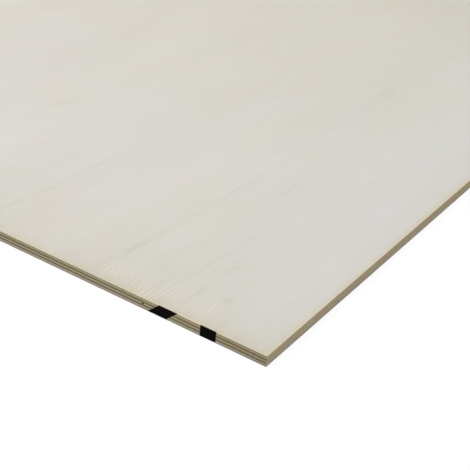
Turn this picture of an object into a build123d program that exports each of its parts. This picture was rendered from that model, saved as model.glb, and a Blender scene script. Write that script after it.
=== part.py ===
from build123d import *
import os

# A panel of seven-ply plywood, lying flat with its face veneer up.
# Millimetres: +X along the length and the face grain, +Y across the grain, +Z up.
# The origin is under the middle of the back veneer.

# Panel outline, sawn square, with its upright corners barely broken
panel_length = 1220.0
panel_width = 610.0
corner_radius = 0.6

# Lay-up: the grain of the two outer veneers and the long plies runs along X,
# the grain of the cross plies and the core runs along Y
face_veneer_thickness = 1.125
back_veneer_thickness = 1.125
cross_ply_thickness = 1.35
long_ply_thickness = 1.35
core_ply_thickness = 1.35

# Arrises round the two outer veneers, eased in sanding
arris_ease = 0.3

# Gap where two core veneers were butted: it opens on the end at -X and closes as it runs in
core_gap_width = 1.2
core_gap_depth = 40.0
core_gap_from_corner = 100.3
cut_overrun = 1.0

# Underside of each ply, from the back veneer up
back_veneer_level = 0
lower_cross_level = back_veneer_level + back_veneer_thickness
lower_long_level = lower_cross_level + cross_ply_thickness
core_level = lower_long_level + long_ply_thickness
upper_long_level = core_level + core_ply_thickness
upper_cross_level = upper_long_level + long_ply_thickness
face_veneer_level = upper_cross_level + cross_ply_thickness

# Place of the core gap, measured along the end from the corner at -X and -Y
gap_end = -panel_length / 2
gap_middle = -panel_width / 2 + core_gap_from_corner


def pressed_ply(level, thickness):
    """One veneer, sawn to the panel's outline, with its underside at this level."""
    with BuildPart() as ply:
        with BuildSketch(Plane.XY.offset(level)):
            RectangleRounded(panel_length, panel_width, corner_radius)
        extrude(amount=thickness)
    return ply.part


# Back veneer: the face that the panel lies on, with its lower arris eased
with BuildPart() as back_veneer:
    add(pressed_ply(back_veneer_level, back_veneer_thickness))
    chamfer(back_veneer.faces().sort_by(Axis.Z)[0].edges(), length=arris_ease)

# Cross ply and long ply of the lower half
with BuildPart() as lower_cross_ply:
    add(pressed_ply(lower_cross_level, cross_ply_thickness))

with BuildPart() as lower_long_ply:
    add(pressed_ply(lower_long_level, long_ply_thickness))

# Core: the middle ply, with the open butt joint that shows on the end
with BuildPart() as core_ply:
    add(pressed_ply(core_level, core_ply_thickness))
    with BuildSketch(Plane.XY.offset(core_level)):
        with BuildLine():
            Polyline(
                (gap_end - cut_overrun, gap_middle - core_gap_width / 2),
                (gap_end, gap_middle - core_gap_width / 2),
                (gap_end + core_gap_depth, gap_middle),
                (gap_end, gap_middle + core_gap_width / 2),
                (gap_end - cut_overrun, gap_middle + core_gap_width / 2),
                close=True,
            )
        make_face()
    extrude(amount=core_ply_thickness, mode=Mode.SUBTRACT)

# Long ply and cross ply of the upper half, which balance the lower ones
with BuildPart() as upper_long_ply:
    add(pressed_ply(upper_long_level, long_ply_thickness))

with BuildPart() as upper_cross_ply:
    add(pressed_ply(upper_cross_level, cross_ply_thickness))

# Face veneer: the show face, with its upper arris eased
with BuildPart() as face_veneer:
    add(pressed_ply(face_veneer_level, face_veneer_thickness))
    chamfer(face_veneer.faces().sort_by(Axis.Z)[-1].edges(), length=arris_ease)

# Label and write the plies, one file each
back_veneer.part.label = "back_veneer"
lower_cross_ply.part.label = "lower_cross_ply"
lower_long_ply.part.label = "lower_long_ply"
core_ply.part.label = "core_ply"
upper_long_ply.part.label = "upper_long_ply"
upper_cross_ply.part.label = "upper_cross_ply"
face_veneer.part.label = "face_veneer"

os.makedirs("parts", exist_ok=True)
export_step(back_veneer.part, "parts/back_veneer.step")
export_step(lower_cross_ply.part, "parts/lower_cross_ply.step")
export_step(lower_long_ply.part, "parts/lower_long_ply.step")
export_step(core_ply.part, "parts/core_ply.step")
export_step(upper_long_ply.part, "parts/upper_long_ply.step")
export_step(upper_cross_ply.part, "parts/upper_cross_ply.step")
export_step(face_veneer.part, "parts/face_veneer.step")
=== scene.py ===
import math

import bpy
from mathutils import Matrix, Vector


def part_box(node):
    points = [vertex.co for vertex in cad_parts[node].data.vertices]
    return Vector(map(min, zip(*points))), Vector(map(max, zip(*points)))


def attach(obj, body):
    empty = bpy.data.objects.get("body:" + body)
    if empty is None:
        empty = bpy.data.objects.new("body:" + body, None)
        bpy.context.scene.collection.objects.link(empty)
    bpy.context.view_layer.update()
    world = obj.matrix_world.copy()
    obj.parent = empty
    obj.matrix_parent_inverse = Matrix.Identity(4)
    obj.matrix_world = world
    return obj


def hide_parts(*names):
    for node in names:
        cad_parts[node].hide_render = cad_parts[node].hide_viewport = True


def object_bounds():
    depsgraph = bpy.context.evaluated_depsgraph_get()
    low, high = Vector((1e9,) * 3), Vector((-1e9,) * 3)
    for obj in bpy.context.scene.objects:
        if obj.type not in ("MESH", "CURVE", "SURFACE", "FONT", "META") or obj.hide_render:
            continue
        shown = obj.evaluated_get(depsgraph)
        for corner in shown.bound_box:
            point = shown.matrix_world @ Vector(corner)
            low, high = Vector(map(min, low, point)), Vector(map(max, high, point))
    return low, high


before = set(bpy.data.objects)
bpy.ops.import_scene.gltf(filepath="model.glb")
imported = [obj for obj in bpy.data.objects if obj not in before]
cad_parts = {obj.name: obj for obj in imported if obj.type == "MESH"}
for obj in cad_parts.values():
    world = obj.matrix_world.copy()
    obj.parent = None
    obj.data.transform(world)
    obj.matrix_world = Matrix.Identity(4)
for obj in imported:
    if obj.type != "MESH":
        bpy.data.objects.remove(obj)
cad_low, cad_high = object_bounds()

# Sizes in metres, in the panel's own frame: the grain of the show face runs along X
MM = 0.001
panel_length = cad_high.x - cad_low.x
panel_width = cad_high.y - cad_low.y
panel_thickness = cad_high.z - cad_low.z
near_corner = Vector((cad_low.x, cad_low.y, cad_high.z))

# Plies from the top down: node, record slot, and whether the grain runs along X
PLIES = (
    ("face_veneer", "outer_veneer_wood", True),
    ("upper_cross_ply", "cross_ply_wood", False),
    ("upper_long_ply", "long_ply_wood", True),
    ("core_ply", "cross_ply_wood", False),
    ("lower_long_ply", "long_ply_wood", True),
    ("lower_cross_ply", "cross_ply_wood", False),
    ("back_veneer", "outer_veneer_wood", True),
)
outer_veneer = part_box("back_veneer")[1].z
inner_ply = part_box("core_ply")[1].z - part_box("core_ply")[0].z

# Sawn edge: how finely it is divided, and how rough the saw leaves it
edge_step = 1.2 * MM
edge_rows = 5
row_tolerance = 0.1
corner_radius = 0.6 * MM
outer_arris = 0.3 * MM
glue_line_arris = 0.05 * MM
saw_wave_depth = 0.06 * MM
end_grain_depth = 0.07 * MM
long_grain_depth = 0.05 * MM
tear_depth = 0.7 * MM
corner_facets = 4
weld_distance = 0.001 * MM

# Noise of the sawn edge, in waves to the metre along X, Y and Z, and where it counts as torn
SAW_WAVE = (20.0, 20.0, 0.0)
END_FIBRES = (700.0, 700.0, 2500.0)
SIDE_FIBRES = (90.0, 90.0, 3500.0)
TORN_PLACES = (260.0, 260.0, 0.0)
torn_past = (0.6, 0.78)
ply_seed = 17.0

# Share of the half width past which an outline point is a corner, and part of a normal along X on an end
corner_past = 0.9999
end_facing = (0.6, 0.8)

# Upward part of a normal past which a facet takes the face's finish: the show face's own arris does
arris_in_face = 0.5
face_only = 0.95

# Open butt joint of the core on the end at -X
core_gap_width = 1.2 * MM
core_gap_depth = 40.0 * MM
core_gap_from_corner = 100.3 * MM
# Painted shade: how much darker the walls of the open joint are, where little light gets in
core_gap_painted_shade = 0.3


class Graph:
    """Builds a node tree in few words: each call adds a node and gives back its output."""

    def __init__(self, tree):
        self.tree = tree

    def feed(self, socket, value):
        if isinstance(value, bpy.types.NodeSocket):
            self.tree.links.new(value, socket)
        else:
            socket.default_value = value

    def node(self, kind, inputs=(), **settings):
        node = self.tree.nodes.new(kind)
        for name, value in settings.items():
            setattr(node, name, value)
        pairs = inputs.items() if isinstance(inputs, dict) else enumerate(inputs)
        for key, value in pairs:
            self.feed(node.inputs[key], value)
        return node

    def math(self, operation, *values):
        return self.node("ShaderNodeMath", values, operation=operation).outputs[0]

    def plus(self, total, field, amount):
        """A total with some share of a field added to it."""
        return self.node("ShaderNodeMath", (field, amount, total), operation="MULTIPLY_ADD").outputs[0]

    def vector(self, operation, *values):
        node = self.node("ShaderNodeVectorMath", operation=operation)
        for number, value in enumerate(values):
            self.feed(node.inputs[number], value)
        scalar = operation in ("DOT_PRODUCT", "LENGTH", "DISTANCE")
        return node.outputs["Value" if scalar else "Vector"]

    def scaled(self, vector, factor):
        node = self.node("ShaderNodeVectorMath", {"Vector": vector, "Scale": factor}, operation="SCALE")
        return node.outputs["Vector"]

    def split(self, vector):
        return self.node("ShaderNodeSeparateXYZ", (vector,)).outputs

    def join(self, x, y, z):
        return self.node("ShaderNodeCombineXYZ", (x, y, z)).outputs[0]

    def noise(self, vector, detail=2.0, roughness=0.5):
        inputs = {"Vector": vector, "Scale": 1.0, "Detail": detail, "Roughness": roughness}
        return self.node("ShaderNodeTexNoise", inputs).outputs[0]

    def smooth(self, value, low, high, start=0.0, end=1.0):
        """Goes smoothly from start to end as the value goes from low to high."""
        inputs = {"Value": value, "From Min": low, "From Max": high, "To Min": start, "To Max": end}
        return self.node("ShaderNodeMapRange", inputs, interpolation_type="SMOOTHSTEP").outputs[0]

    def blend(self, share, first, second):
        """The first colour turning into the second."""
        node = self.node("ShaderNodeMix", data_type="RGBA")
        self.feed(node.inputs[0], share)
        self.feed(node.inputs[6], first)
        self.feed(node.inputs[7], second)
        return node.outputs[2]


def linear(red, green, blue):
    """A colour given as it looks on a screen, 0 to 255, as the light value that a shader takes."""
    shares = (value / 255 for value in (red, green, blue))
    return tuple(((s + 0.055) / 1.055) ** 2.4 if s > 0.04045 else s / 12.92 for s in shares) + (1.0,)


# Sawn plies


def sawn_ply_tree():
    """Geometry nodes that press a ply out of its outline and roughen its sawn edge."""
    tree = bpy.data.node_groups.new("sawn_ply", "GeometryNodeTree")
    tree.interface.new_socket("Outline", in_out="INPUT", socket_type="NodeSocketGeometry")
    for name in (
        "Underside",
        "Thickness",
        "Half Width",
        "Corner Radius",
        "Step",
        "Upper Arris",
        "Lower Arris",
        "Saw Wave",
        "End Roughness",
        "Side Roughness",
        "Upper Tear",
        "Lower Tear",
        "Upper Face Slope",
        "Seed",
    ):
        tree.interface.new_socket(name, in_out="INPUT", socket_type="NodeSocketFloat")
    for name in ("Upper Face", "Lower Face", "End Cut", "Side Cut"):
        tree.interface.new_socket(name, in_out="INPUT", socket_type="NodeSocketMaterial")
    tree.interface.new_socket("Ply", in_out="OUTPUT", socket_type="NodeSocketGeometry")
    g = Graph(tree)
    given = g.node("NodeGroupInput").outputs

    # Outline: round the four corners, leave the gap's corners sharp, then divide every run
    curve = g.node("GeometryNodeMeshToCurve", {"Mesh": given["Outline"]}).outputs[0]
    position = g.node("GeometryNodeInputPosition").outputs[0]
    _, y, z = g.split(position)
    outermost = g.math("MULTIPLY", given["Half Width"], corner_past)
    at_corner = g.math("GREATER_THAN", g.math("ABSOLUTE", y), outermost)
    radius = g.math("MULTIPLY", at_corner, given["Corner Radius"])
    fillet = {"Curve": curve, "Radius": radius, "Count": corner_facets}
    curve = g.node("GeometryNodeFilletCurve", fillet, mode="POLY").outputs[0]
    following = g.node("GeometryNodeOffsetPointInCurve", {"Offset": 1}).outputs["Point Index"]
    ahead = g.node(
        "GeometryNodeFieldAtIndex", {"Index": following, "Value": position}, data_type="FLOAT_VECTOR"
    ).outputs[0]
    cuts = g.math("FLOOR", g.math("DIVIDE", g.vector("DISTANCE", position, ahead), given["Step"]))
    curve = g.node("GeometryNodeSubdivideCurve", {"Curve": curve, "Cuts": cuts}).outputs[0]

    # Solid: raise the filled outline row by row, then close it underneath
    sheet = g.node("GeometryNodeFillCurve", {"Curve": curve}, mode="NGONS").outputs[0]
    row_height = g.math("DIVIDE", given["Thickness"], float(edge_rows))
    solid, top = sheet, None
    for _ in range(edge_rows):
        raised = {"Mesh": solid, "Offset": (0, 0, 1), "Offset Scale": row_height, "Individual": False}
        if top is not None:
            raised["Selection"] = top
        row = g.node("GeometryNodeExtrudeMesh", raised, mode="FACES")
        solid, top = row.outputs["Mesh"], row.outputs["Top"]
    under = g.node("GeometryNodeFlipFaces", {"Mesh": sheet}).outputs[0]
    joined = g.node("GeometryNodeJoinGeometry")
    g.feed(joined.inputs[0], solid)
    g.feed(joined.inputs[0], under)
    welded = {"Geometry": joined.outputs[0], "Distance": weld_distance}
    solid = g.node("GeometryNodeMergeByDistance", welded).outputs[0]

    # Outward direction of the edge, and which row a point is on
    normal = g.node("GeometryNodeInputNormal").outputs[0]
    outward = g.vector("NORMALIZE", g.vector("MULTIPLY", normal, (1, 1, 0)))
    out_x = g.split(outward)[0]
    on_end = g.smooth(g.math("ABSOLUTE", out_x), *end_facing)
    row = g.math("ROUND", g.math("DIVIDE", z, row_height))
    on_top = g.math("GREATER_THAN", row, edge_rows - 0.5)
    below_top = g.math("COMPARE", row, edge_rows - 1.0, row_tolerance)
    on_bottom = g.math("LESS_THAN", row, 0.5)
    above_bottom = g.math("COMPARE", row, 1.0, row_tolerance)

    # Arrises: the outer rows step in, and the rows beside them close up to the arris
    step_in = g.math(
        "ADD",
        g.math("MULTIPLY", on_top, given["Upper Arris"]),
        g.math("MULTIPLY", on_bottom, given["Lower Arris"]),
    )
    lift = g.math(
        "ADD",
        g.math("MULTIPLY", below_top, g.math("SUBTRACT", row_height, given["Upper Arris"])),
        g.math("MULTIPLY", above_bottom, g.math("SUBTRACT", given["Lower Arris"], row_height)),
    )

    # Roughness: one wave of the saw through all plies, then each ply's own fibres and torn places
    wave = g.noise(g.vector("MULTIPLY", position, SAW_WAVE), detail=1.0)
    own = g.join(0, 0, given["Seed"])
    fine = g.noise(g.vector("ADD", g.vector("MULTIPLY", position, END_FIBRES), own))
    stringy = g.noise(g.vector("ADD", g.vector("MULTIPLY", position, SIDE_FIBRES), own))
    fibres = g.math(
        "ADD",
        g.math("MULTIPLY", g.math("MULTIPLY", fine, given["End Roughness"]), on_end),
        g.math(
            "MULTIPLY",
            g.math("MULTIPLY", stringy, given["Side Roughness"]),
            g.math("SUBTRACT", 1.0, on_end),
        ),
    )
    torn = g.noise(g.vector("ADD", g.vector("MULTIPLY", position, TORN_PLACES), own), detail=1.5)
    torn = g.math("MULTIPLY", g.smooth(torn, *torn_past), on_end)
    tear_rows = g.math(
        "ADD",
        g.math("MULTIPLY", g.smooth(row, edge_rows - 2.0, float(edge_rows)), given["Upper Tear"]),
        g.math("MULTIPLY", g.smooth(row, 0.0, 2.0, 1.0, 0.0), given["Lower Tear"]),
    )
    inset = g.math("ADD", step_in, g.math("MULTIPLY", wave, given["Saw Wave"]))
    inset = g.math("ADD", inset, fibres)
    inset = g.math("ADD", inset, g.math("MULTIPLY", torn, tear_rows))
    shift = g.vector("ADD", g.scaled(outward, g.math("MULTIPLY", inset, -1.0)), g.join(0, 0, lift))
    shift = g.vector("ADD", shift, g.join(0, 0, given["Underside"]))
    solid = g.node("GeometryNodeSetPosition", {"Geometry": solid, "Offset": shift}).outputs[0]

    # Finishes: the two faces, then the cuts across and along the panel
    normal_x, _, normal_z = g.split(g.node("GeometryNodeInputNormal").outputs[0])
    is_upper = g.math("GREATER_THAN", normal_z, given["Upper Face Slope"])
    is_lower = g.math("LESS_THAN", normal_z, -face_only)
    is_edge = g.math("SUBTRACT", g.math("SUBTRACT", 1.0, is_upper), is_lower)
    faces_end = g.math("GREATER_THAN", g.math("ABSOLUTE", normal_x), end_facing[0])
    is_end = g.math("MULTIPLY", is_edge, faces_end)
    is_side = g.math("SUBTRACT", is_edge, is_end)
    solid = g.node(
        "GeometryNodeSetShadeSmooth", {"Geometry": solid, "Selection": is_edge, "Shade Smooth": True}
    ).outputs[0]
    solid = g.node("GeometryNodeRealizeInstances", {"Geometry": solid}).outputs[0]
    for selection, name in (
        (is_upper, "Upper Face"),
        (is_lower, "Lower Face"),
        (is_end, "End Cut"),
        (is_side, "Side Cut"),
    ):
        finish = {"Geometry": solid, "Selection": selection, "Material": given[name]}
        solid = g.node("GeometryNodeSetMaterial", finish).outputs[0]
    g.node("NodeGroupOutput", (solid,))
    return tree


def ply_outline(low, high, with_gap):
    """Corner points of a ply's outline, with the core's butt joint where it has one."""
    points = [(low.x, low.y), (high.x, low.y), (high.x, high.y), (low.x, high.y)]
    if with_gap:
        middle = low.y + core_gap_from_corner
        points += [
            (low.x, middle + core_gap_width / 2),
            (low.x + core_gap_depth, middle),
            (low.x, middle - core_gap_width / 2),
        ]
    return [(x, y, 0.0) for x, y in points]


# Bake map of a ply: heights of its rows beside each other
# A side and an end are cut into this many parts, one row each
OUTER_VENEER_PARTS = {"side": 1, "end": 1}
INNER_PLY_PARTS = {"side": 3, "end": 2}
shown_row = 30.0
hidden_row = 0.4
edge_row = 1.0
gap_row = 0.6
map_margin = 0.004
row_margin = 0.002


def map_rows(shown, parts):
    """Rows of a bake map: each strip of the surface and part of it, with its low and high place."""
    rows = [((name, 0), shown_row if name == shown else hidden_row) for name in ("up", "down")]
    rows += [((name, 0), gap_row) for name in ("gap_low", "gap_high")]
    for kind, count in parts.items():
        for part in range(count):
            rows += [((kind + "_low", part), edge_row), ((kind + "_high", part), edge_row)]
    total = sum(height for _, height in rows)
    places, bottom = {}, 0.0
    for strip, height in rows:
        places[strip] = (bottom + row_margin, bottom + height / total - row_margin)
        bottom += height / total
    return places


def strip_of(face, low, high, parts):
    """The strip of a ply's surface that a face lies on, and its part along the strip."""
    middle, normal = face.center, face.normal
    if abs(normal.z) > face_only:
        return ("up" if normal.z > 0 else "down"), 0
    if abs(normal.x) > abs(normal.y):
        kind, toward, share = "end", normal.x, (middle.y - low.y) / (high.y - low.y)
    elif low.y + corner_radius < middle.y < high.y - corner_radius:
        return ("gap_low" if normal.y > 0 else "gap_high"), 0
    else:
        kind, toward, share = "side", normal.y, (middle.x - low.x) / (high.x - low.x)
    part = min(int(share * parts[kind]), parts[kind] - 1)
    return kind + ("_low" if toward < 0 else "_high"), part


def lay_out_map(mesh, low, high, shown, parts):
    """Bake map: faces and strips of the sawn edge lie in rows, each stretched over the map's width."""
    places = map_rows(shown, parts)
    size = high - low
    layer = mesh.uv_layers.new(name="OFBake")
    for face in mesh.polygons:
        strip, part = strip_of(face, low, high, parts)
        row_low, row_high = places[strip, part]
        kind = strip.split("_")[0]
        for corner in face.loop_indices:
            point = mesh.vertices[mesh.loops[corner].vertex_index].co - low
            run, rise = point.x / size.x, point.z / size.z
            if kind in ("up", "down"):
                rise = point.y / size.y
            elif kind == "gap":
                run = point.x / core_gap_depth
            elif kind == "end":
                run = point.y / size.y * parts[kind] - part
            else:
                run = run * parts[kind] - part
            run = map_margin + (1.0 - 2.0 * map_margin) * run
            layer.uv[corner].vector = (run, row_low + rise * (row_high - row_low))


def make_ply(tree, node, long_grain, number, finishes):
    """One ply as a plain mesh object that stands for its CAD node."""
    low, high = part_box(node)
    points = ply_outline(low, high, node == "core_ply")
    mesh = bpy.data.meshes.new(node + "_outline")
    edges = [(i, (i + 1) % len(points)) for i in range(len(points))]
    mesh.from_pydata(points, edges, [])
    blank = bpy.data.objects.new(node + "_blank", mesh)
    bpy.context.scene.collection.objects.link(blank)
    modifier = blank.modifiers.new("sawn_ply", "NODES")
    modifier.node_group = tree
    is_top = node == "face_veneer"
    is_bottom = node == "back_veneer"
    values = {
        "Underside": low.z,
        "Thickness": high.z - low.z,
        "Half Width": high.y,
        "Corner Radius": corner_radius,
        "Step": edge_step,
        "Upper Arris": outer_arris if is_top else glue_line_arris,
        "Lower Arris": outer_arris if is_bottom else glue_line_arris,
        "Saw Wave": saw_wave_depth,
        "End Roughness": end_grain_depth if long_grain else long_grain_depth,
        "Side Roughness": long_grain_depth if long_grain else end_grain_depth,
        "Upper Tear": tear_depth if is_top else 0.0,
        "Lower Tear": tear_depth if is_bottom else 0.0,
        "Upper Face Slope": arris_in_face if is_top else face_only,
        "Seed": ply_seed * (number + 1),
        **finishes,
    }
    for socket in tree.interface.items_tree:
        if socket.name in values:
            modifier[socket.identifier] = values[socket.name]
    depsgraph = bpy.context.evaluated_depsgraph_get()
    made = bpy.data.meshes.new_from_object(blank.evaluated_get(depsgraph))
    bpy.data.objects.remove(blank)
    made.name = node + "_sawn"
    shown = "up" if is_top else "down" if is_bottom else None
    lay_out_map(made, low, high, shown, OUTER_VENEER_PARTS if shown else INNER_PLY_PARTS)
    piece = bpy.data.objects.new(node + "_sawn", made)
    bpy.context.scene.collection.objects.link(piece)
    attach(piece, "root")
    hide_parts(node)


# Finishes: height of the fibres in the bump, and roughness and gloss of each surface
fibre_height = 0.03 * MM
face_roughness = 0.66
roughness_change = 0.2
face_gloss = 0.2
edge_roughness = 0.9
edge_gloss = 0.03
glued_roughness = 0.7
glued_gloss = 0.1


def new_material(name):
    """An empty material, and the graph that fills it."""
    material = bpy.data.materials.new(name)
    material.use_nodes = True
    material.node_tree.nodes.clear()
    return material, Graph(material.node_tree)


def millimetres_from_corner(g):
    """Place on the panel in millimetres: along the grain, across it, and down from the show face."""
    place = g.node("ShaderNodeTexCoord").outputs["Object"]
    place = g.scaled(g.vector("SUBTRACT", place, tuple(near_corner)), 1 / MM)
    along, across, up = g.split(place)
    return along, across, g.math("MULTIPLY", up, -1.0)


def close_material(g, colour, roughness, gloss, height):
    """Feeds the shader and the output."""
    bump = g.node("ShaderNodeBump", {"Height": height, "Distance": fibre_height, "Strength": 1.0})
    finish = {
        "Base Color": colour,
        "Roughness": roughness,
        "Specular IOR Level": gloss,
        "Normal": bump.outputs[0],
    }
    shader = g.node("ShaderNodeBsdfPrincipled", finish)
    g.node("ShaderNodeOutputMaterial", {"Surface": shader.outputs[0]})


# Black marking paint: two stripes across the left end, in millimetres
# Middle from the near corner at the show face, lean per millimetre down, half width
MARKING_BLACK = linear(15, 13, 11)
EDGE_STRIPES = (
    (79.1, 1.07, 7.75),
    (46.1, 0.02, 6.45),
)
stripe_rim = 0.35
paint_on_end = 6.0
paint_on_arris = 0.4


def edge_stripes(g, along, across, down, ragged, reach):
    """Marking paint on the left end, as far in as it reaches: its rim follows the fibres a little."""
    paint = 0.0
    for middle, lean, half_width in EDGE_STRIPES:
        centre = g.plus(middle, down, lean)
        off_middle = g.math("ADD", g.math("ABSOLUTE", g.math("SUBTRACT", across, centre)), ragged)
        stripe = g.smooth(off_middle, half_width - stripe_rim, half_width + stripe_rim, 1.0, 0.0)
        paint = g.math("ADD", paint, stripe)
    return g.math("MULTIPLY", paint, g.math("LESS_THAN", along, reach))


# Veneer faces: pale rotary-cut wood, creamier where it meets the sawn edges
FACE_PALE = linear(217.0, 216.7, 212.8)
FACE_ROSE = linear(219.9, 213.6, 209.6)
FACE_HONEY = linear(208, 198, 150)
face_warmth = 0.13
warmth_change = 0.28
rosy_across = (20.0, 320.0)
rosy_share = (0.2625, 0.53)
rosy_change = 1.0
rosy_corner = 0.0875
rosy_corner_along = (120.0, 260.0)
rosy_corner_across = (160.0, 260.0)
ARRIS_CREAM = linear(213, 204, 179)
# Painted highlight: a paler line along the arrises of the ends and sides, standing in for the light that
# the eased arris catches
ARRIS_HIGHLIGHT = linear(234, 224, 198)
cream_reach_from_end = (6.4, 3.8)
cream_narrows = (90.0, 190.0)
cream_reach_from_side = 3.3
arris_highlight_band = (0.3, 1.3)
highlight_share_at_end = 0.45
highlight_share_at_side = 0.85
cream_share = 0.9
cream_change = 2.4

# Handling dulls and yellows the face for some way in from the ends, and dulls it a little along the sides
handled_from_end = 35.0
handled_from_side = 25.0
end_dulling = 0.062
end_yellowing = 0.065
side_dulling = 0.018
handling_change = 1.4

# The grain leans off the panel's length near the left end, more so away from the front edge
lean_at_front = 0.035
lean_at_rear = 0.11
lean_starts = 90.0
lean_full = 260.0
lean_reach = 260.0

# How much finer noise adds to each pattern
noise_roughness = 0.55

# Bends of the grain lines: length, width and offset of the noise, and how far it carries them
LINE_BENDS = ((26.0, 24.0, 0.7, 5.0), (13.0, 7.0, 3.3, 2.2))
FLOW_BENDS = ((70.0, 36.0, 1.9, 9.0), (480.0, 240.0, 0.0, 40.0))

# Patterns drawn out along the grain: length and width in millimetres, an offset that sets each apart, and
# how many finer sizes of noise are in it
PATTERNS = {
    "strands": (20.0, 2.4, 2.2, 2.0),
    "torn phase": (30.0, 12.0, 7.7, 2.0),
    "torn places": (13.0, 4.5, 3.6, 2.0),
    "ring wander": (420.0, 110.0, 12.5, 1.0),
    "ring strength": (260.0, 60.0, 13.7, 2.0),
    "ripple wander": (380.0, 120.0, 8.3, 1.0),
    "ripple strength": (300.0, 120.0, 4.4, 1.0),
    "dash places": (230.0, 90.0, 5.8, 1.0),
    "dashes": (44.0, 2.6, 7.1, 2.0),
    "pores": (4.0, 0.3, 6.6, 1.0),
    "cream": (16.0, 11.0, 5.2, 2.0),
    "handling": (40.0, 14.0, 6.1, 2.0),
    "warmth": (90.0, 40.0, 9.1, 4.0),
    "rose": (90.0, 44.0, 10.4, 3.0),
    "paint rim": (3.0, 0.8, 3.1, 2.0),
    "soaked glue": (120.0, 60.0, 0.0, 1.0),
    "glued fibres": (9.0, 0.5, 1.0, 2.0),
}

# Figure: length and width of its marks along and across the grain in millimetres, and how far it shades
figure_offset = 1.3
FIGURE = {
    "clouds": (260.0, 110.0, 0.050),
    "mottle": (34.0, 13.0, 0.024),
    "lines": (110.0, 5.5, 0.030),
    "hairs": (30.0, 1.7, 0.028),
    "fibres": (9.0, 0.5, 0.050),
}
lined_parts = ("lines", "hairs")
lined_boost = 0.8
line_honey = 0.06

# Growth rings: their spacing, how the grain carries them about, how much they shade and tint the wood
# The show face is plain at the left end; its rings come out between these distances from it
ring_spacing = 34.0
ring_wander = 5.0
ring_dark = 0.034
ring_honey = 0.13
late_wood = (0.25, 0.86)
ring_range = (-0.16, 0.16)
ring_share = (0.15, 1.0)
SHOW_FACE_RINGS = (560.0, 900.0)
BACK_FACE_RINGS = (-300.0, 200.0)

# Slow ripple across the grain, stronger in places
ripple_spacing = 26.0
ripple_wander = 7.0
ripple_range = (-0.12, 0.16)
ripple_share = (0.2, 1.0)
ripple_shade = 0.018

# Sparse dashes that gather here and there
dash_places = (-0.08, 0.14)
dash_share = (0.2, 1.0)
dash_range = (0.10, 0.24)
dash_dark = 0.022
dash_honey = 0.04

# Pores: where the noise counts as one, how dark and how deep beside the fibres
pore_range = (0.14, 0.26)
pore_dark = 0.03
pore_depth = 0.4

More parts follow.
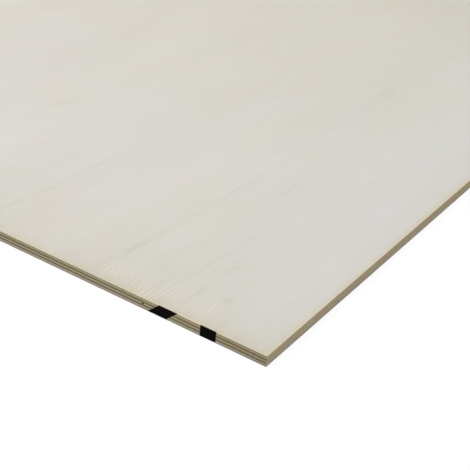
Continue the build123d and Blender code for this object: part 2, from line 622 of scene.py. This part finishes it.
# Marks in the show face, in millimetres from the near corner:
# along, across, half length, half width, how much darker, how much of the honey tint
SHOW_FACE_MARKS = (
    # Brown streak that starts at the left end, and the long faint streak that carries it on
    (14, 149, 12, 2.4, 0.018, 0.02),
    (29, 141.6, 6, 1.8, 0.036, 0.04),
    (48, 143.6, 11, 2.5, 0.052, 0.12),
    (45, 144, 17, 5.0, 0.006, 0.07),
    (78, 140, 26, 2.4, 0.034, 0.01),
    (112, 138, 18, 2.6, 0.030, 0.00),
    (168, 134.5, 22, 2.4, 0.028, 0.00),
    (186, 133.5, 40, 4.4, 0.014, 0.02),
    (262, 137, 26, 2.6, 0.024, 0.00),
    (330, 136, 40, 2.8, 0.012, 0.00),
    # Fainter streaks in front of it
    (66, 115, 20, 2.0, 0.026, 0.00),
    (85, 110.5, 5, 2.0, 0.040, 0.00),
    (123, 112, 16, 2.0, 0.034, 0.02),
    (176, 105, 34, 2.8, 0.024, 0.00),
    (83, 89, 70, 2.0, 0.020, 0.00),
    (115.5, 87.5, 9, 1.6, 0.026, 0.00),
    (174.5, 87.5, 7, 1.6, 0.028, 0.00),
    (242, 104, 8, 1.6, 0.028, 0.00),
    (180, 60, 96, 2.2, 0.016, 0.00),
    (262, 54, 26, 2.0, -0.022, 0.00),
    # Green line with its dark end, and the spot beside the end
    (30, 75.5, 26, 1.8, 0.050, 0.00),
    (60, 73, 16, 2.0, 0.045, 0.00),
    (72, 72.6, 7, 4.2, 0.016, 0.05),
    (34, 53.5, 4.6, 4.0, 0.066, 0.00),
    # Double line at the left, and what carries it on
    (40, 251, 30, 2.2, 0.048, 0.00),
    (85, 246, 26, 2.2, 0.048, 0.00),
    (84, 239.5, 14, 1.8, 0.032, 0.00),
    (125, 243, 20, 2.0, 0.038, 0.00),
    (165, 232, 30, 2.2, 0.032, 0.00),
    (200, 225, 16, 2.0, 0.024, 0.00),
    # Streaks farther back
    (112, 301, 36, 2.4, 0.032, 0.00),
    (190, 296, 46, 2.4, 0.018, 0.00),
    (288, 292, 10, 1.8, 0.026, 0.00),
    (166, 344.5, 22, 3.4, 0.012, 0.09),
    (190, 338, 13, 5.0, 0.012, 0.17),
    (249, 395, 16, 2.0, 0.028, 0.00),
    (364, 269, 8, 2.0, 0.028, 0.00),
    (372, 205, 18, 6.0, 0.018, 0.01),
    (460, 196, 12, 2.2, 0.032, 0.01),
    (566, 227, 12, 2.4, 0.026, 0.00),
    # Small dark spots, and a pin dent drawn as a dark spot (painted shade) with a lighter spot beside it
    # (painted highlight)
    (275, 137, 3, 2.0, 0.050, 0.00),
    (299, 136, 4, 2.0, 0.036, 0.00),
    (359, 241, 3, 2.0, 0.034, 0.00),
    (245.4, 59.6, 2.0, 1.8, 0.080, 0.00),
    (247.6, 57.4, 1.5, 1.3, -0.060, 0.00),
    # Soft patches and a whorl
    (408, 129, 11, 9.0, 0.013, 0.01),
    (402, 133, 40, 3.2, 0.010, 0.01),
    (356, 52, 18, 8.0, 0.012, 0.03),
    # Broad warmer and cooler wood
    (640, 330, 280, 250, 0.000, 0.07),
    (200, 24, 230, 55, 0.000, -0.085),
    (420, 160, 90, 60, 0.000, 0.045),
    (420, 380, 90, 70, 0.004, 0.035),
    (20, 140, 40, 45, 0.006, 0.045),
    (20, 75, 30, 40, 0.000, 0.030),
    (130, 290, 110, 110, -0.002, -0.050),
    (140, 190, 50, 30, -0.006, -0.040),
    (200, 425, 50, 40, -0.008, -0.045),
    (290, 100, 60, 40, -0.006, 0.000),
    (330, 40, 60, 40, 0.000, -0.030),
    (240, 6, 150, 20, 0.013, 0.020),
    (520, 95, 50, 30, 0.006, 0.000),
    (690, 190, 110, 80, 0.034, 0.020),
    # Past what the camera sees
    (640, 470, 70, 2.2, 0.034, 0.02),
    (705, 330, 90, 2.6, 0.028, 0.01),
    (830, 118, 60, 2.0, 0.036, 0.02),
    (852, 119, 9, 3.8, 0.030, 0.12),
    (980, 420, 80, 2.4, 0.034, 0.01),
    (1050, 226, 5, 4.0, 0.060, 0.20),
    (1050, 226, 40, 9.0, 0.014, 0.04),
    (1130, 520, 48, 1.8, 0.036, 0.02),
    (1120, 330, 60, 2.6, 0.030, 0.00),
    (900, 560, 90, 2.4, 0.030, 0.00),
    (560, 575, 110, 2.4, 0.024, 0.00),
    (900, 300, 240, 34, 0.008, 0.06),
    (760, 530, 260, 26, 0.006, 0.05),
    (1010, 140, 220, 30, 0.010, 0.05),
)
SHOW_FACE_LINED = (110, 105, 170, 70)
show_face_seed = 1.0
back_face_seed = 9.0
BACK_FACE_MARKS = (
    (180, 420, 60, 2.4, 0.026, 0.03),
    (260, 140, 5, 4.2, 0.050, 0.26),
    (262, 140, 46, 10, 0.018, 0.06),
    (520, 300, 90, 2.2, 0.026, 0.02),
    (590, 84, 44, 2.8, 0.028, 0.05),
    (760, 500, 6, 4.6, 0.050, 0.26),
    (764, 500, 52, 12, 0.018, 0.06),
    (930, 210, 80, 2.4, 0.026, 0.02),
    (1090, 360, 50, 2.2, 0.030, 0.05),
)

# Streaks up to this half width break into strands, and have paler wood beside them
widest_streak = 3.0
streak_flank = 0.22
strand_range = (-0.16, 0.16)
strand_share = (0.3, 1.6)
streak_honey = 0.9
flank_spread = 2.4

# Torn fibres that stand up in short ridges along the left end, in millimetres
torn_from_end = (1.0, 10.0)
torn_to = (16.0, 36.0)
torn_front = (34.0, 60.0)
torn_rear = (140.0, 182.0)
torn_grows = (88.0, 116.0)
torn_growth = 1.7
torn_spacing = 4.0
torn_stagger = 34.0
torn_drift = (60.0, 16.0, 2.7)
torn_phase_shift = 9.0
torn_range = (-0.13, 0.13)
# Ridge crests painted lighter and the hollows between them darker: painted highlight and painted shade;
# the bump gives the same ridges their relief
crest_range = (-0.6, 1.0)
crest_light = (-0.45, 1.2)
crest_painted_light = 0.046
crest_height = 0.8
torn_lightening = 0.024
torn_paling = 0.02
torn_rose = 0.19


class VeneerGrain:
    """Fields that follow the grain lines of one veneer face, in millimetres from the near corner."""

    def __init__(self, g, seed):
        self.g = g
        self.seed = seed
        self.along, self.across, self.down = millimetres_from_corner(g)
        lean = g.smooth(self.across, lean_starts, lean_full, lean_at_front, lean_at_rear)
        fading = g.math("EXPONENT", g.math("DIVIDE", self.along, -lean_reach))
        run = g.math("MULTIPLY", g.math("SUBTRACT", 1.0, fading), lean_reach)
        straight = g.math("ADD", self.across, g.math("MULTIPLY", lean, run))
        self.line = self.bent(straight, LINE_BENDS)
        self.flow = self.bent(straight, FLOW_BENDS)

    def bent(self, line, bends):
        """A grain line carried to and fro by slow noise."""
        for length, width, offset, reach in bends:
            line = self.g.plus(line, self.waver(length, width, offset), reach)
        return line

    def waver(self, length, width, offset):
        """Slow noise about zero that bends the grain lines."""
        g = self.g
        lengths, widths = g.math("DIVIDE", self.along, length), g.math("DIVIDE", self.across, width)
        return g.math("SUBTRACT", g.noise(g.join(lengths, widths, self.seed + offset), 1.0), 0.5)

    def streaks(self, length, width, offset, detail=2.0):
        """Noise about zero, drawn out along the grain."""
        g = self.g
        lengths, widths = g.math("DIVIDE", self.along, length), g.math("DIVIDE", self.flow, width)
        place = g.join(lengths, widths, self.seed + offset)
        return g.math("SUBTRACT", g.noise(place, detail, noise_roughness), 0.5)

    def pattern(self, name):
        """One of the named patterns."""
        return self.streaks(*PATTERNS[name])


def grain_mark_tree():
    """Shader group: a soft spot, long along the grain, with a paler flank on both sides."""
    tree = bpy.data.node_groups.new("grain_mark", "ShaderNodeTree")
    for name in ("Along", "Across", "Place Along", "Place Across", "Half Length", "Half Width", "Flank"):
        tree.interface.new_socket(name, in_out="INPUT", socket_type="NodeSocketFloat")
    tree.interface.new_socket("Share", in_out="OUTPUT", socket_type="NodeSocketFloat")
    g = Graph(tree)
    given = g.node("NodeGroupInput").outputs
    off_along = g.math("SUBTRACT", given["Along"], given["Place Along"])
    off_across = g.math("SUBTRACT", given["Across"], given["Place Across"])
    off_along = g.math("DIVIDE", off_along, given["Half Length"])
    off_across = g.math("DIVIDE", off_across, given["Half Width"])
    fading = g.math("EXPONENT", g.math("MULTIPLY", g.math("MULTIPLY", off_along, off_along), -1.0))
    square = g.math("MULTIPLY", off_across, off_across)
    core = g.math("EXPONENT", g.math("MULTIPLY", square, -1.0))
    flank = g.math("EXPONENT", g.math("MULTIPLY", square, -1.0 / flank_spread**2))
    profile = g.math("SUBTRACT", core, g.math("MULTIPLY", flank, given["Flank"]))
    g.node("NodeGroupOutput", (g.math("MULTIPLY", fading, profile),))
    return tree


def smoothstep(value, low, high):
    """The same smooth step as the shader's, for places worked out here."""
    share = min(1.0, max(0.0, (value - low) / (high - low)))
    return share * share * (3.0 - 2.0 * share)


def leaned(along, across):
    """Across place on the leaning grain line of a point, in millimetres."""
    lean = lean_at_front + (lean_at_rear - lean_at_front) * smoothstep(across, lean_starts, lean_full)
    return across + lean * lean_reach * (1.0 - math.exp(-along / lean_reach))


def soft_spot(g, grain, mark_tree, place, flank):
    """A soft spot on the face: its place along and across, its half length and half width."""
    place_along, place_across, half_length, half_width = place
    spot = g.node("ShaderNodeGroup", node_tree=mark_tree)
    line = leaned(place_along, place_across)
    values = (grain.along, grain.line, place_along, line, half_length, half_width, flank)
    for socket, value in zip(spot.inputs, values):
        g.feed(socket, value)
    return spot.outputs[0]


def veneer_marks(g, grain, marks, mark_tree):
    """How much darker and more honey-coloured the marks make the face: fibres break them into strands."""
    strands = g.smooth(grain.pattern("strands"), *strand_range, *strand_share)
    darker, honey = 0.0, 0.0
    for place_along, place_across, half_length, half_width, dark, tint in marks:
        is_streak = half_width < widest_streak
        place = (place_along, place_across, half_length, half_width)
        share = soft_spot(g, grain, mark_tree, place, streak_flank if is_streak else 0.0)
        if is_streak:
            share = g.math("MULTIPLY", share, strands)
        darker = g.plus(darker, share, dark)
        honey = g.plus(honey, share, tint)
    return darker, honey


def torn_fibres(g, grain):
    """Where fibres stand up beside the left end, and the short ridges they make there."""
    stagger = g.plus(grain.along, grain.waver(*torn_drift), torn_stagger)
    patch = g.smooth(stagger, *torn_from_end)
    patch = g.math("MULTIPLY", patch, g.smooth(stagger, *torn_to, 1.0, 0.0))
    patch = g.math("MULTIPLY", patch, g.smooth(grain.across, *torn_front))
    patch = g.math("MULTIPLY", patch, g.smooth(grain.across, *torn_rear, 1.0, 0.0))
    phase = g.math("MULTIPLY", grain.across, math.tau / torn_spacing)
    phase = g.plus(phase, grain.pattern("torn phase"), torn_phase_shift)
    standing = g.smooth(grain.pattern("torn places"), *torn_range)
    standing = g.math("MULTIPLY", standing, g.smooth(grain.across, *torn_grows, 1.0, torn_growth))
    crests = g.smooth(g.math("SINE", phase), *crest_range, *crest_light)
    ridges = g.math("MULTIPLY", g.math("MULTIPLY", crests, patch), standing)
    return patch, ridges


def growth_rings(g, grain, ringed):
    """Late wood of the growth rings: each darkens slowly to one side and stops at the other."""
    turns = g.math("DIVIDE", grain.flow, ring_spacing)
    share = g.math("FRACT", g.plus(turns, grain.pattern("ring wander"), ring_wander))
    late = g.math("MULTIPLY", g.smooth(share, *late_wood), g.smooth(share, late_wood[1], 1.0, 1.0, 0.0))
    uneven = g.smooth(grain.pattern("ring strength"), *ring_range, *ring_share)
    return g.math("MULTIPLY", g.math("MULTIPLY", late, uneven), g.smooth(grain.along, *ringed))


def veneer_face_material(name, seed, marks, mark_tree, lined_zone, ringed, with_torn_fibres):
    """Pale sanded veneer: faint figure along the grain, marks, and a cream rim along the sawn edges."""
    material, g = new_material(name)
    grain = VeneerGrain(g, seed)

    # Figure
    fields = {}
    tone = 1.0
    lined = soft_spot(g, grain, mark_tree, lined_zone, 0.0) if lined_zone else 0.0
    for number, (part, (length, width, amount)) in enumerate(FIGURE.items()):
        fields[part] = grain.streaks(length, width, figure_offset * number)
        if part in lined_parts:
            amount = g.plus(amount, lined, amount * lined_boost)
        tone = g.plus(tone, fields[part], amount)
    ripple = g.math("DIVIDE", grain.flow, ripple_spacing)
    ripple = g.plus(ripple, grain.pattern("ripple wander"), ripple_wander)
    strength = g.smooth(grain.pattern("ripple strength"), *ripple_range, *ripple_share)
    tone = g.plus(tone, g.math("MULTIPLY", g.math("SINE", ripple), strength), ripple_shade)
    rings = growth_rings(g, grain, ringed)
    tone = g.plus(tone, rings, -ring_dark)
    gathered = g.smooth(grain.pattern("dash places"), *dash_places, *dash_share)
    gathered = g.math("MAXIMUM", gathered, lined)
    dashes = g.math("MULTIPLY", g.smooth(grain.pattern("dashes"), *dash_range), gathered)
    tone = g.plus(tone, dashes, -dash_dark)
    pores = g.smooth(grain.pattern("pores"), *pore_range)
    tone = g.plus(tone, pores, -pore_dark)
    height = g.plus(fields["fibres"], pores, -pore_depth)

    # Marks and torn fibres
    darker, honey = veneer_marks(g, grain, marks, mark_tree)
    tone = g.math("SUBTRACT", tone, darker)
    honey = g.plus(honey, dashes, dash_honey)
    honey = g.plus(honey, darker, streak_honey)
    honey = g.plus(honey, fields["lines"], -line_honey)
    honey = g.plus(honey, rings, ring_honey)
    if with_torn_fibres:
        patch, ridges = torn_fibres(g, grain)
        # Painted highlight on the ridge crests and painted shade between them
        tone = g.plus(tone, ridges, crest_painted_light)
        tone = g.plus(tone, patch, torn_lightening)
        honey = g.plus(honey, patch, -torn_paling)
        height = g.plus(height, ridges, crest_height)

    # Rims along the sawn edges: creamier, and dulled by handling
    far_along = g.math("SUBTRACT", panel_length / MM, grain.along)
    far_across = g.math("SUBTRACT", panel_width / MM, grain.across)
    from_end = g.math("MAXIMUM", g.math("MINIMUM", grain.along, far_along), 0.0)
    from_side = g.math("MAXIMUM", g.math("MINIMUM", grain.across, far_across), 0.0)
    end_reach = g.smooth(grain.across, *cream_narrows, *cream_reach_from_end)
    end_cream = g.math("EXPONENT", g.math("MULTIPLY", g.math("DIVIDE", from_end, end_reach), -1.0))
    side_share = g.math("DIVIDE", from_side, cream_reach_from_side)
    side_cream = g.math("EXPONENT", g.math("MULTIPLY", g.math("MULTIPLY", side_share, side_share), -1.0))
    uneven = g.plus(cream_share, grain.pattern("cream"), cream_change)
    cream = g.math("MULTIPLY", g.math("MAXIMUM", end_cream, side_cream), uneven)
    end_handling = g.math("EXPONENT", g.math("DIVIDE", from_end, -handled_from_end))
    patchy = g.plus(1.0, grain.pattern("handling"), handling_change)
    end_handling = g.math("MULTIPLY", end_handling, patchy)
    side_handling = g.math("EXPONENT", g.math("DIVIDE", from_side, -handled_from_side))
    tone = g.plus(tone, end_handling, -end_dulling)
    tone = g.plus(tone, side_handling, -side_dulling)
    honey = g.plus(honey, end_handling, end_yellowing)

    # Colour
    warmth = g.plus(face_warmth, grain.pattern("warmth"), warmth_change)
    rosy = g.smooth(grain.across, *rosy_across, *rosy_share)
    rosy = g.plus(rosy, grain.pattern("rose"), rosy_change)
    near = g.smooth(grain.along, *rosy_corner_along, 1.0, 0.0)
    near = g.math("MULTIPLY", near, g.smooth(grain.across, *rosy_corner_across, 1.0, 0.0))
    rosy = g.plus(rosy, near, rosy_corner)
    if with_torn_fibres:
        rosy = g.plus(rosy, patch, torn_rose)
    colour = g.blend(rosy, FACE_PALE, FACE_ROSE)
    colour = g.blend(g.math("ADD", honey, warmth), colour, FACE_HONEY)
    colour = g.blend(cream, colour, ARRIS_CREAM)
    # Painted highlight along the arrises of the ends and sides
    colour = g.blend(g.smooth(from_end, *arris_highlight_band, highlight_share_at_end, 0.0), colour, ARRIS_HIGHLIGHT)
    colour = g.blend(g.smooth(from_side, *arris_highlight_band, highlight_share_at_side, 0.0), colour, ARRIS_HIGHLIGHT)
    colour = g.scaled(colour, tone)
    ragged = grain.pattern("paint rim")
    paint = edge_stripes(g, grain.along, grain.across, grain.down, ragged, paint_on_arris)
    colour = g.blend(paint, colour, MARKING_BLACK)
    roughness = g.plus(face_roughness, fields["hairs"], roughness_change)
    close_material(g, colour, roughness, face_gloss, height)
    return material


# Cut fibres on a sawn edge: length along the cut and height in millimetres, and how far they shade it
END_GRAIN = {"lines": (4.0, 0.22, 0.40), "specks": (0.5, 0.3, 0.50), "pores": (0.45, 0.34, -0.34)}
LONG_GRAIN = {"lines": (18.0, 0.22, 0.45), "specks": (2.6, 0.3, 0.30), "pores": (4.0, 0.13, -0.26)}
cut_pores = (0.10, 0.22)
cut_pore_depth = 0.5
pore_lift = 0.025

# The same three values for the slow change along a cut, the saw's marks and the ragged rim of the paint
SLOW_CHANGE = (160.0, 1.6, 0.16)
SAW_MARKS = (1.4, 30.0, 0.16)
PAINT_RIM = (0.7, 0.35, 0.6)

# Offsets that set the patterns of a cut apart
CUT_OFFSETS = {"slow": 1.0, "lines": 2.0, "saw": 4.0, "specks": 7.0, "pores": 9.0, "paint": 11.0}

# Sawn edges: glue lines, painted bounce light from the white floor (greyer towards the back, paler along
# the back veneer), and soiling by the near corner, in millimetres
GLUE_BROWN = linear(92, 78, 56)
LOWER_BOUNCE_TINT = (1.03, 1.09, 1.34, 1.0)
glue_line = (0.025, 0.09)
glue_share = 0.7
painted_smoothing = 0.9
bounce_tint_from = 2.5
bounce_lit_back = (7.6, 8.7)
back_bounce_paling = 0.10
soiled_reach = 30.0

# Cuts: material, colour, whether on an end, whether across the grain, and how soiled by the near corner
CUTS = (
    ("outer_veneer_end_grain", linear(160, 148, 122), True, True, 0.10),
    ("long_ply_end_grain", linear(127, 114, 86), True, True, 0.0),
    ("cross_ply_long_grain", linear(182, 169, 138), True, False, 0.17),
    ("long_ply_long_grain", linear(194, 178, 145), False, False, 0.0),
    ("cross_ply_end_grain", linear(189, 173, 142), False, True, 0.0),
)

# Glue soaked into the hidden faces
glued_seed = 5.0
soaked_range = (-0.2, 0.2)
soaked_share = (0.75, 0.9)


def glued_face_material():
    """Hidden face of an inner ply: glue soaked into the wood, seen only inside the core's open joint."""
    material, g = new_material("glued_ply_face")
    grain = VeneerGrain(g, glued_seed)
    soaked = g.smooth(grain.pattern("soaked glue"), *soaked_range, *soaked_share)
    height = grain.pattern("glued fibres")
    close_material(g, g.scaled(GLUE_BROWN[:3], soaked), glued_roughness, glued_gloss, height)
    return material


def sawn_edge_material(name, colour, on_end, end_grain, corner_soiling):
    """Sawn edge of a veneer: fibres drawn along the cut or their cut ends, with glue lines beside it."""
    material, g = new_material(name)
    along, across, down = millimetres_from_corner(g)
    run = across if on_end else along

    def field(size, offset, detail=2.0):
        length, height, _ = size
        place = g.join(g.math("DIVIDE", run, length), g.math("DIVIDE", down, height), offset)
        return g.math("SUBTRACT", g.noise(place, detail, noise_roughness), 0.5)

    cut = END_GRAIN if end_grain else LONG_GRAIN
    specks = field(cut["specks"], CUT_OFFSETS["specks"])
    pores = g.smooth(field(cut["pores"], CUT_OFFSETS["pores"], 1.0), *cut_pores)
    tone = g.plus(1.0 + pore_lift, field(SLOW_CHANGE, CUT_OFFSETS["slow"], 1.0), SLOW_CHANGE[2])
    tone = g.plus(tone, field(cut["lines"], CUT_OFFSETS["lines"]), cut["lines"][2])
    tone = g.plus(tone, specks, cut["specks"][2])
    tone = g.plus(tone, pores, cut["pores"][2])
    tone = g.plus(tone, field(SAW_MARKS, CUT_OFFSETS["saw"], 1.0), SAW_MARKS[2])
    if on_end:
        from_corner = g.math("MAXIMUM", across, 0.0)
        soiled = g.math("EXPONENT", g.math("DIVIDE", from_corner, -soiled_reach))
        tone = g.plus(tone, soiled, -corner_soiling)
    else:
        # Painted shade on the walls of the core's open joint
        off_gap = g.math("ABSOLUTE", g.math("SUBTRACT", across, core_gap_from_corner / MM))
        gap_painted_shade = g.smooth(off_gap, core_gap_width / MM, 2.0 * core_gap_width / MM, 1.0, 0.0)
        tone = g.plus(tone, gap_painted_shade, -core_gap_painted_shade)
    # Painted bounce light from the white floor: the back veneer's edge paler
    tone = g.plus(tone, g.smooth(down, *bounce_lit_back), back_bounce_paling)
    shade = g.scaled(colour[:3], tone)

    # Painted bounce light from the white floor: lower plies greyer
    tint = g.blend(g.smooth(down, bounce_tint_from, panel_thickness / MM), (1, 1, 1, 1), LOWER_BOUNCE_TINT)
    shade = g.vector("MULTIPLY", shade, tint)

    # Glue lines: the nearest seam between two plies
    seams = g.math("DIVIDE", g.math("SUBTRACT", down, outer_veneer / MM), inner_ply / MM)
    off_seam = g.math("ABSOLUTE", g.math("SUBTRACT", g.math("FRACT", g.math("ADD", seams, 0.5)), 0.5))
    off_seam = g.math("MULTIPLY", off_seam, inner_ply / MM)
    glue = g.smooth(off_seam, *glue_line, glue_share, 0.0)
    shade = g.blend(glue, shade, GLUE_BROWN)
    height = g.plus(specks, pores, -cut_pore_depth)
    if on_end:
        ragged = g.math("MULTIPLY", field(PAINT_RIM, CUT_OFFSETS["paint"]), PAINT_RIM[2])
        paint = edge_stripes(g, along, across, down, ragged, paint_on_end)
        shade = g.blend(paint, shade, MARKING_BLACK)
        height = g.math("MULTIPLY", height, g.plus(1.0, paint, -painted_smoothing))
    close_material(g, shade, edge_roughness, edge_gloss, height)
    return material


# Stage and light: shades of the floor, and the lamp's size, power and place from the near corner in metres
floor_size = 60.0
floor_bounce = 0.8
floor_shade = 0.12
floor_glow = 0.9
room_light = 0.5
lamp_size = 3.0
lamp_power = 60.0
lamp_from_corner = Vector((-0.45, 1.25, 2.6))
lamp_aim = Vector((0.3, 0.3, 0.0))


def grey(value):
    """A neutral colour."""
    return (value, value, value, 1.0)


def seen_plainly(g):
    """One where a ray comes from the camera, a gloss or a clear thing, and nought for soft light."""
    ray = g.node("ShaderNodeLightPath").outputs
    seen = g.math("MAXIMUM", ray["Is Camera Ray"], ray["Is Glossy Ray"])
    return g.math("MAXIMUM", seen, ray["Is Transmission Ray"])


def make_stage():
    """White floor that keeps the panel's shadow."""
    bpy.ops.mesh.primitive_plane_add(size=floor_size, location=(0, 0, 0))
    floor = bpy.context.object
    floor.name = "floor"
    material, g = new_material("white_floor")
    plain = g.node("ShaderNodeBsdfDiffuse", {"Color": grey(floor_bounce)}).outputs[0]
    shaded = g.node("ShaderNodeBsdfDiffuse", {"Color": grey(floor_shade)}).outputs[0]
    glow = g.node("ShaderNodeEmission", {"Color": grey(1.0), "Strength": floor_glow}).outputs[0]
    white = g.node("ShaderNodeAddShader", (shaded, glow)).outputs[0]
    mix = g.node("ShaderNodeMixShader", (seen_plainly(g), plain, white)).outputs[0]
    g.node("ShaderNodeOutputMaterial", {"Surface": mix})
    floor.data.materials.append(material)


def make_light():
    """Even white room light with one large soft lamp behind the panel's far left."""
    world = bpy.data.worlds.new("studio")
    bpy.context.scene.world = world
    world.use_nodes = True
    world.node_tree.nodes.clear()
    g = Graph(world.node_tree)
    strength = g.smooth(seen_plainly(g), 0.0, 1.0, room_light, 1.0)
    background = g.node("ShaderNodeBackground", {"Color": grey(1.0), "Strength": strength})
    g.node("ShaderNodeOutputWorld", {"Surface": background.outputs[0]})
    data = bpy.data.lights.new("soft_lamp", "AREA")
    data.shape = "SQUARE"
    data.size = lamp_size
    data.energy = lamp_power
    lamp = bpy.data.objects.new("soft_lamp", data)
    bpy.context.scene.collection.objects.link(lamp)
    lamp.location = near_corner + lamp_from_corner
    aim = near_corner + lamp_aim
    lamp.rotation_euler = (aim - lamp.location).to_track_quat("-Z", "Y").to_euler()


# Camera: its place from the near corner in metres, its turn, and its lens and sensor in millimetres
camera_from_corner = Vector((-0.52752, -0.29914, 0.46134))
camera_yaw = math.radians(32.0724)
camera_pitch = math.radians(31.6187)
camera_roll = math.radians(-4.6226)
camera_lens = 91.3226
camera_sensor = 36.0


def make_camera():
    """Camera at the photograph's place, over the near corner."""
    forward = Vector(
        (
            math.cos(camera_pitch) * math.cos(camera_yaw),
            math.cos(camera_pitch) * math.sin(camera_yaw),
            -math.sin(camera_pitch),
        )
    )
    level_right = forward.cross(Vector((0, 0, 1))).normalized()
    level_down = forward.cross(level_right)
    right = level_right * math.cos(camera_roll) + level_down * math.sin(camera_roll)
    down = level_down * math.cos(camera_roll) - level_right * math.sin(camera_roll)
    data = bpy.data.cameras.new("camera")
    data.sensor_width = camera_sensor
    data.lens = camera_lens
    camera = bpy.data.objects.new("camera", data)
    bpy.context.scene.collection.objects.link(camera)
    turn = Matrix((right, -down, -forward)).transposed().to_4x4()
    camera.matrix_world = Matrix.Translation(near_corner + camera_from_corner) @ turn
    bpy.context.scene.camera = camera


def build():
    """Makes the finishes, the seven plies and what the picture needs round them."""
    tree = sawn_ply_tree()
    mark_tree = grain_mark_tree()
    show_face = veneer_face_material(
        "show_face_veneer",
        show_face_seed,
        SHOW_FACE_MARKS,
        mark_tree,
        SHOW_FACE_LINED,
        SHOW_FACE_RINGS,
        with_torn_fibres=True,
    )
    back_face = veneer_face_material(
        "back_face_veneer",
        back_face_seed,
        BACK_FACE_MARKS,
        mark_tree,
        None,
        BACK_FACE_RINGS,
        with_torn_fibres=False,
    )
    glued_face = glued_face_material()
    outer_end, inner_end, cross_end, long_side, cross_side = (sawn_edge_material(*cut) for cut in CUTS)
    for number, (node, slot, long_grain) in enumerate(PLIES):
        long_end = outer_end if slot == "outer_veneer_wood" else inner_end
        finishes = {
            "Upper Face": show_face if node == "face_veneer" else glued_face,
            "Lower Face": back_face if node == "back_veneer" else glued_face,
            "End Cut": long_end if long_grain else cross_end,
            "Side Cut": long_side if long_grain else cross_side,
        }
        make_ply(tree, node, long_grain, number, finishes)
    make_stage()
    make_light()
    make_camera()
    bpy.context.scene.view_settings.view_transform = "Standard"


build()
